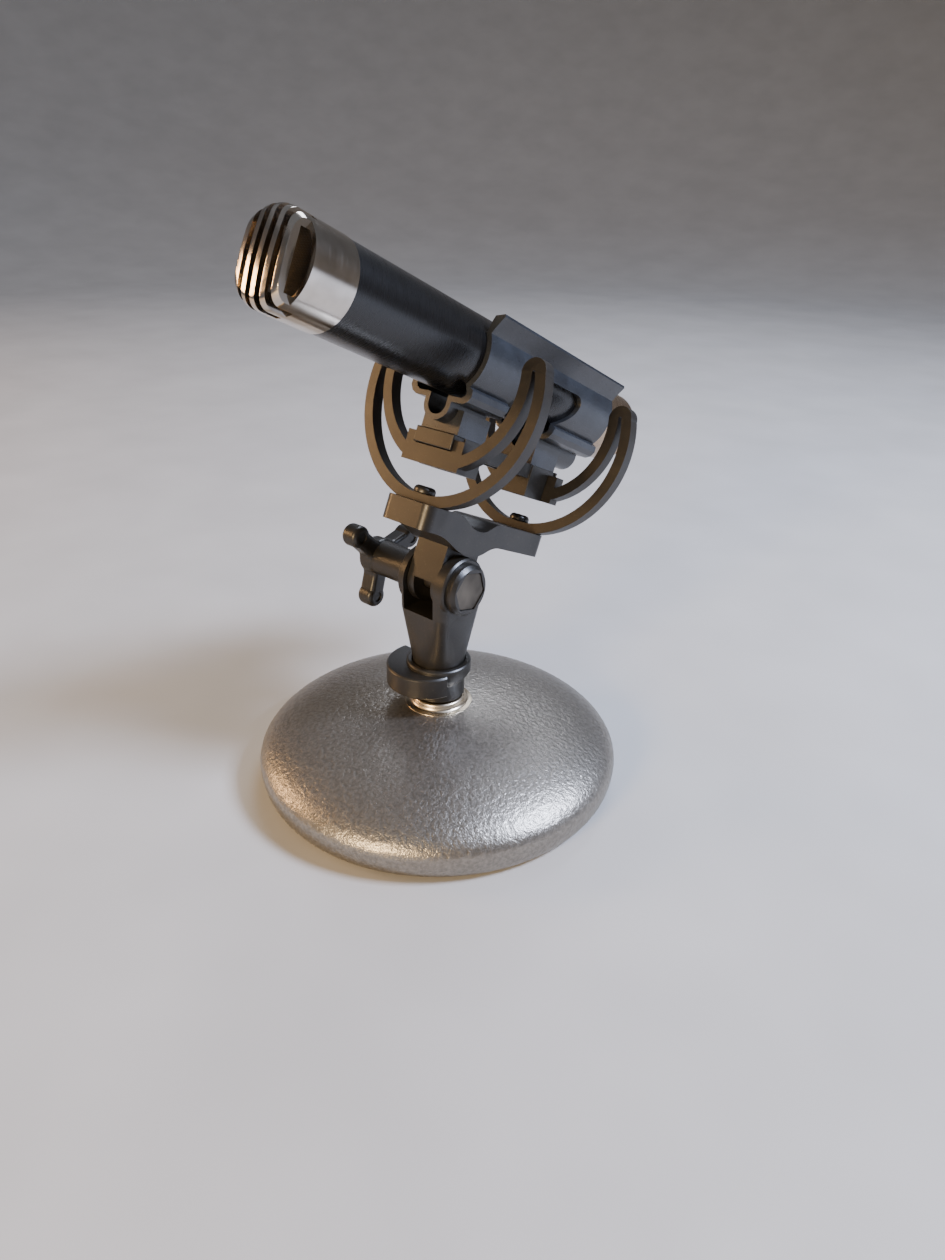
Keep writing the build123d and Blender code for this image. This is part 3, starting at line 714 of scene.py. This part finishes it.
@dataclass
class ShockMount:
    """Bar, two elastic lyres and the rail that they carry. Sizes in millimetres, in the upper frame."""

    bar_edge: float = 0.6
    lyre_edge: float = 0.45
    small_edge: float = 0.25
    key_edge: float = 0.2
    band_foot: float = 21.0
    band_split: float = 56.0

    def build(self) -> list[bpy.types.Object]:
        """Make the bar, its pins, both lyres, the rail and its keys."""
        pieces = [
            cad_piece("wave_bar", "lower_bar", self.bar_edge, NYLON, "black_nylon", Body.BAR),
            cad_piece("lyre_cap_pins", "lyre_pins", self.small_edge, NYLON, "black_nylon", Body.BAR),
            cad_piece("slotted_rail", "upper_rail", self.small_edge, NYLON, "black_nylon", Body.CRADLE),
        ]
        for end in ("front", "rear"):
            pieces += self.lyre(end)
            pieces.append(cad_piece(f"{end}_key_plate", f"{end}_lyre_key", self.key_edge,
                                    NYLON, "black_nylon", Body.CRADLE))
        return pieces

    def lyre(self, end: str) -> list[bpy.types.Object]:
        """Split a lyre into the bowed outer band, left in place on no body, and the inner part, which rides on the
        cradle.

        Args:
            end: front or rear.

        Returns:
            Both pieces.
        """
        whole = moulded_copy(f"{end}_lyre_cradle", f"{end}_lyre", self.lyre_edge)
        bow = whole.copy()
        bow.data = whole.data.copy()
        bow.name = f"{end}_lyre_bow"
        bpy.context.scene.collection.objects.link(bow)
        self.keep(whole, inner=True)
        self.keep(bow, inner=False)
        dress_piece(whole, ELASTOMER, "lyre_elastomer", f"{end}_lyre")
        dress_piece(bow, ELASTOMER, "lyre_elastomer", f"{end}_lyre")
        hang(whole, Body.CRADLE)
        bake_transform(bow)
        return [whole, bow]

    def keep(self, piece: bpy.types.Object, inner: bool) -> None:
        """Keep one side of the cut between a lyre's bow and its cradle.

        Args:
            piece: copy of the whole lyre.
            inner: keep the hairpins, inner band and web, and drop the bow.
        """
        bm = bmesh.new()
        bm.from_mesh(piece.data)
        seam = bmesh.ops.bisect_plane(
            bm, geom=bm.verts[:] + bm.edges[:] + bm.faces[:], dist=1e-7,
            plane_co=UPPER @ Vector((0, 0, self.band_split)),
            plane_no=(UPPER.to_3x3() @ Vector((0, 0, 1))).normalized())["geom_cut"]
        bmesh.ops.split_edges(bm, edges=[part for part in seam if isinstance(part, bmesh.types.BMEdge)])
        away = UPPER.inverted()
        bow = {min(bm.verts, key=lambda vert: (away @ vert.co).z)}
        front = list(bow)
        while front:
            for edge in front.pop().link_edges:
                for vert in edge.verts:
                    if vert not in bow:
                        bow.add(vert)
                        front.append(vert)
        drop = [vert for vert in bm.verts if (vert in bow) == inner]
        bmesh.ops.delete(bm, geom=drop, context="VERTS")
        bm.to_mesh(piece.data)
        bm.free()


@dataclass
class MicClip:
    """Spring clip that holds the barrel."""

    edge: float = 0.3

    def build(self) -> list[bpy.types.Object]:
        """Make the clip."""
        return [cad_piece("spring_clip", "mic_clip", self.edge, CLIP_PLASTIC, "clip_plastic", Body.CRADLE)]


@dataclass
class Microphone:
    """Plated head, black barrel and rear sleeve. Sizes in millimetres, along the barrel's axis."""

    head_r: float = 10.5
    tip: float = -81.6
    joint: float = -65.0
    body_r: float = 10.3
    wall: float = 1.2
    sleeve: float = 40.0
    rear: float = 58.0
    dome_r: float = 55.0
    brow: float = 3.0
    slat_pitch: float = 3.0
    slat: float = 1.4
    slot_floor: float = -74.6
    notch: float = -77.0
    slat_edge: float = 0.14
    floor_t: float = 2.4
    crown_r: float = 7.6
    crown_steps: int = 16
    brow_steps: int = 10
    brow_start: float = 10.0
    head_facets: int = 224
    tube_facets: int = 192
    clear: float = 20.0
    bore_r: float = 8.1
    bore_depth: float = 16.0

    def build(self) -> list[bpy.types.Object]:
        """Make the three outer pieces."""
        return [self.head(), self.barrel(), self.tail()]

    def head(self) -> bpy.types.Object:
        """Turned cup with a domed end, slotted into slats and cut away at both sides."""
        inner = self.head_r - self.wall
        crown = [(r, self.tip + self.dome_r - math.sqrt(self.dome_r ** 2 - r ** 2))
                 for r in [self.crown_r * k / self.crown_steps for k in range(self.crown_steps + 1)]]
        across, along = self.head_r - self.brow, crown[-1][1] + self.brow
        sweep = (90 - self.brow_start) / self.brow_steps
        brow = [(across + self.brow * math.sin(a), along - self.brow * math.cos(a))
                for a in [math.radians(self.brow_start + sweep * k) for k in range(self.brow_steps + 1)]]
        inside = self.tip + self.floor_t
        profile = [(0.0, self.tip), *crown[1:], *brow, (self.head_r, self.joint), (inner, self.joint),
                   (inner, inside), (0.0, inside)]
        piece = make_object("slatted_head", lathe_mesh(profile, self.head_facets), BARREL)
        cut(piece, self.slots())
        soften_edges(piece, self.slat_edge, 2)
        return hang(dress_piece(piece, NICKEL, "nickel_plate", "slat_head"), Body.MICROPHONE)

    def slots(self) -> list[bpy.types.Object]:
        """Cutters of the slots between the slats and of the notches beside the outer ones.

        Returns:
            Boxes in the row frame.
        """
        ahead, low, high = self.tip - 1, BARREL_H - 2 * self.head_r, BARREL_H + 2 * self.head_r
        half = (self.slat_pitch - self.slat) / 2
        boxes = [(k * self.slat_pitch - half, k * self.slat_pitch + half, self.slot_floor)
                 for k in (-1.5, -0.5, 0.5, 1.5)]
        side = 2 * self.slat_pitch + self.slat / 2 + 0.1
        boxes += [(-self.clear, -side, self.notch), (side, self.clear, self.notch)]
        return [make_object(f"slot_{n}", box_mesh((x0, ahead, low), (x1, floor, high)), UPPER)
                for n, (x0, x1, floor) in enumerate(boxes)]

    def barrel(self) -> bpy.types.Object:
        """Plain tube with broken edges."""
        inner = self.head_r - self.wall
        profile = rounded([(inner, self.joint + 0.05, 0), (self.body_r, self.joint + 0.05, 0.12),
                           (self.body_r, self.sleeve - 0.05, 0.2), (inner, self.sleeve - 0.05, 0)], 4)
        piece = make_object("black_barrel", lathe_mesh(profile, self.tube_facets), BARREL)
        soften_edges(piece, 0)
        return hang(dress_piece(piece, BLACK_BARREL, "body_paint", "body_tube"), Body.MICROPHONE)

    def tail(self) -> bpy.types.Object:
        """Rear sleeve with the connector's mouth."""
        shelf = self.rear - self.bore_depth
        profile = rounded([
            (self.bore_r - 0.9, self.sleeve - 6, 0), (self.head_r - self.wall - 0.05, self.sleeve - 6, 0.2),
            (self.head_r - self.wall - 0.05, self.sleeve, 0), (self.body_r, self.sleeve, 0.2),
            (self.body_r, self.rear, 0.5), (self.bore_r, self.rear, 0.4), (self.bore_r, shelf, 0),
            (self.bore_r - 0.9, shelf, 0)], 4)
        piece = make_object("rear_sleeve_shell", lathe_mesh(profile, self.tube_facets), BARREL)
        soften_edges(piece, 0)
        return hang(dress_piece(piece, SATIN_NICKEL, "nickel_plate", "rear_sleeve"), Body.MICROPHONE)


@dataclass(frozen=True)
class SoftBox:
    """Square lamp aimed at the middle of the object. Lengths in metres, power in watts."""

    name: str
    at: tuple[float, float, float]
    size: float
    watts: float
    colour: str

    def hang_up(self) -> None:
        """Place the lamp."""
        data = bpy.data.lights.new(self.name, "AREA")
        data.size = self.size
        data.energy = self.watts
        data.color = linear(self.colour)[:3]
        lamp = bpy.data.objects.new(self.name, data)
        lamp.location = self.at
        lamp.rotation_euler = (AIM - Vector(self.at)).to_track_quat("-Z", "Y").to_euler()
        bpy.context.scene.collection.objects.link(lamp)


# Where every lamp points.
AIM = Vector((0, 0, 0.07))
# Cool key from the upper right, warm light from the low front and left.
SOFT_BOXES = (
    SoftBox("key", (0.50, 0.30, 0.62), 0.20, 15.0, "#d6e2ff"),
    SoftBox("top", (-0.30, 0.55, 0.80), 0.45, 5.0, "#eaf0ff"),
    SoftBox("front", (0.12, -0.85, 0.32), 0.22, 10.0, "#ffdba8"),
    SoftBox("side", (-0.75, -0.45, 0.30), 0.25, 4.0, "#ffc98c"),
)


@dataclass
class Studio:
    """Pale floor, soft lights and the camera. Lengths in metres, angles in degrees."""

    lens: float = 25.714
    eye: tuple[float, float, float] = (0.15269, -0.16386, 0.16466)
    azimuth: float = 40.56
    elevation: float = 27.91
    roll: float = 1.314
    sky_colour: str = "#c9cdd6"
    sky_strength: float = 0.32
    floor_half: float = 4.0
    floor_cells: int = 160
    sweep_start: float = 1.1
    sweep_radius: float = 1.0

    def build(self) -> list[bpy.types.Object]:
        """Place the floor, the lights and the camera."""
        self.camera()
        self.lights()
        return [self.floor()]

    def floor(self) -> bpy.types.Object:
        """Floor that curves up into a backdrop far away on all sides."""
        bm = bmesh.new()
        bmesh.ops.create_grid(bm, x_segments=self.floor_cells, y_segments=self.floor_cells,
                              size=self.floor_half)
        for vert in bm.verts:
            beyond = max(0.0, vert.co.length - self.sweep_start)
            if beyond < self.sweep_radius:
                vert.co.z = beyond ** 2 / (2 * self.sweep_radius)
            else:
                vert.co.z = beyond - self.sweep_radius / 2
        piece = make_object("studio_floor", bm, Matrix.Identity(4))
        piece.data.shade_smooth()
        piece.data.materials.append(FLOOR.material())
        return piece

    def camera(self) -> None:
        """Camera above the front right, looking down at the stand."""
        a, e, r = (math.radians(v) for v in (self.azimuth, self.elevation, self.roll))
        back = Vector((math.sin(a) * math.cos(e), -math.cos(a) * math.cos(e), math.sin(e)))
        level = Vector((math.cos(a), math.sin(a), 0))
        up = back.cross(level)
        right = level * math.cos(r) + up * math.sin(r)
        up = up * math.cos(r) - level * math.sin(r)
        data = bpy.data.cameras.new("camera")
        data.lens = self.lens
        camera = bpy.data.objects.new("camera", data)
        camera.matrix_world = Matrix((right, up, back)).transposed().to_4x4()
        camera.matrix_world.translation = Vector(self.eye)
        bpy.context.scene.collection.objects.link(camera)
        bpy.context.scene.camera = camera

    def lights(self) -> None:
        """Hang the soft boxes and set a faint even sky."""
        for box in SOFT_BOXES:
            box.hang_up()
        world = bpy.data.worlds.new("studio")
        world.use_nodes = True
        sky = world.node_tree.nodes["Background"].inputs
        sky["Color"].default_value = linear(self.sky_colour)
        sky["Strength"].default_value = self.sky_strength
        bpy.context.scene.world = world


def dress_cad_nodes() -> None:
    """Give each CAD node that stays in view its finish."""
    for node, finish in CAD_FINISHES.items():
        mesh = frame["nodes"][node].data
        mesh.materials.clear()
        mesh.materials.append(finish.material())


def main() -> None:
    """Build the studio and every sub-assembly, then report the pieces."""
    logging.basicConfig(level=logging.INFO, format="%(name)s: %(message)s")
    for assembly in (Studio(), DeskBase(), Swivel(), ShockMount(), MicClip(), Microphone()):
        for piece in assembly.build():
            LOG.info("%s: %s, %d faces", type(assembly).__name__, piece.name, len(piece.data.polygons))
    dress_cad_nodes()


if __name__ == "__main__":
    main()
